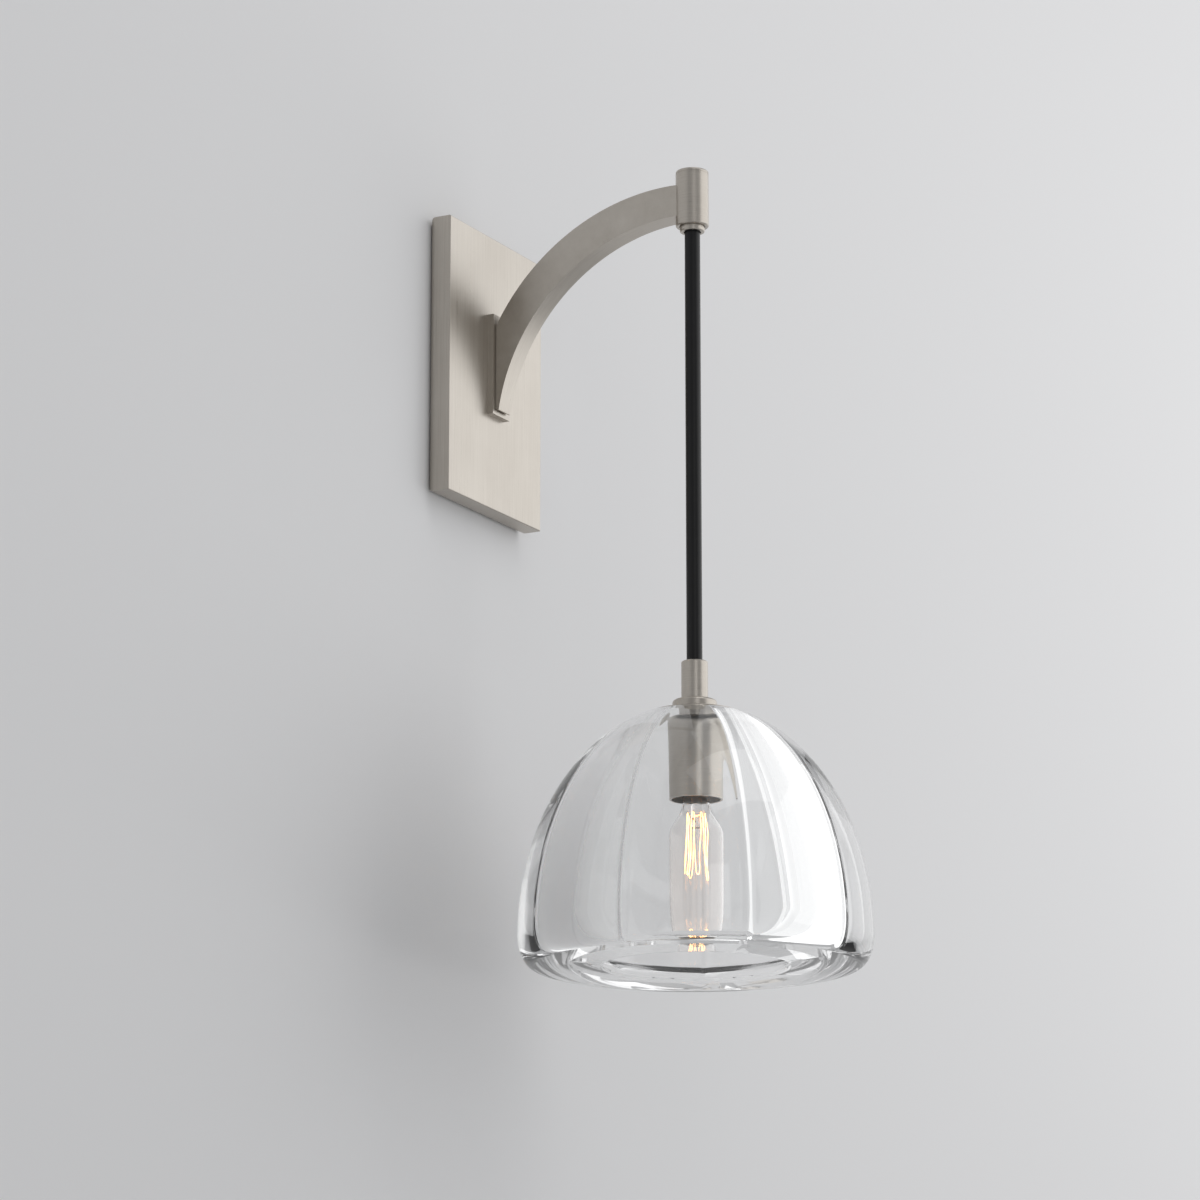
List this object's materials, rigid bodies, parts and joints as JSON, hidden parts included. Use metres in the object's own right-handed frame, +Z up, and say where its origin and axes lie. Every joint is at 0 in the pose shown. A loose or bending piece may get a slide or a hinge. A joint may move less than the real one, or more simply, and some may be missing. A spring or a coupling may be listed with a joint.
{
  "type": "pendant wall sconce",
  "caption": "Wall light: a rectangular plate and a curved tapering arm with a hub, from which a black cord hangs a thick clear glass dome around a tubular lamp.",
  "frame": {"origin": "middle of the wall plate's back, midway between the two box screw slots, on the wall", "axes": "+Z up, +Y into the wall (the arm reaches out along -Y), +X to the right along the wall as seen from the room"},
  "size_m": [0.1752, 0.2141, 0.41],
  "materials": {
    "brushed_nickel": "satin nickel, fine straight brushing",
    "zinc_steel": "zinc plated steel",
    "green_screw": "green lacquered screw",
    "brass": "plain brass",
    "cord_jacket": "smooth satin black jacket",
    "clear_seal": "translucent silicone",
    "black_rubber": "black rubber",
    "crystal": "clear polished cast glass",
    "holder_plastic": "dark moulded lampholder",
    "black_glass": "vitreous black insulator",
    "solder": "solder",
    "lamp_glass": "clear thin lamp glass",
    "filament_wire": "glowing filament",
    "support_wire": "nickel wire",
    "black_core": "black insulated core",
    "white_core": "white insulated core",
    "green_core": "green insulated core",
    "connector_plastic": "orange twist-on connector"
  },
  "bodies": {
    "wall_bracket": {"backplate": "brushed_nickel", "mounting_strap": "zinc_steel", "locating_pin": "zinc_steel", "retaining_screws": "zinc_steel", "ground_screw": "green_screw", "arm_foot": "brushed_nickel", "arm": "brushed_nickel", "arm_screws": "zinc_steel", "hub": "brushed_nickel", "hub_cap": "brushed_nickel", "collar": "brushed_nickel", "cord_grip": "brass", "held_cord": "cord_jacket", "live_core": "black_core", "neutral_core": "white_core", "ground_core": "green_core", "wire_connectors": "connector_plastic"},
    "cord_turn": {"cord_bend": "cord_jacket"},
    "lamp_base": {"lamp_cap": "brass", "lamp_insulator": "black_glass", "lamp_contact": "solder"},
    "lamp": {"lamp_envelope": "lamp_glass", "lamp_stem": "lamp_glass", "filament": "filament_wire", "filament_supports": "support_wire"},
    "pendant": {"ferrule": "brushed_nickel", "shade_cap": "brushed_nickel", "socket_cup": "brushed_nickel", "ferrule_screw": "brushed_nickel", "clamp_washer": "zinc_steel", "threaded_nipple": "zinc_steel", "cup_nut": "zinc_steel", "lampholder_bracket": "zinc_steel", "pendant_cord": "cord_jacket", "cap_seal": "clear_seal", "shade_gasket": "black_rubber", "shade": "crystal", "lampholder_body": "holder_plastic", "screw_shell": "brass", "centre_contact": "brass", "terminal_screws": "brass", "lamp_live_core": "black_core", "lamp_neutral_core": "white_core"}
  },
  "joints": [
    {"name": "swing_fore_aft", "type": "hinge", "parent": "wall_bracket", "child": "cord_turn", "pos_m": [0, -0.1265, 0.0596], "axis": [1, 0, 0], "range_deg": [-15, 5]},
    {"name": "swing_sideways", "type": "hinge", "parent": "cord_turn", "child": "pendant", "pos_m": [0, -0.1265, 0.0596], "axis": [0, 1, 0], "range_deg": [-15, 15]},
    {"name": "lamp_travel", "type": "slide", "parent": "pendant", "child": "lamp_base", "axis": [0, 0, -1], "range_m": [0, 0.0127]},
    {"name": "lamp_turn", "type": "hinge", "parent": "lamp_base", "child": "lamp", "pos_m": [0, -0.1265, -0.25], "axis": [0, 0, -1], "range_deg": [0, 1800]}
  ],
  "couplings": [
    {"joint": "lamp_turn", "follows": "lamp_travel", "rad_per_m": 2473.7}
  ]
}
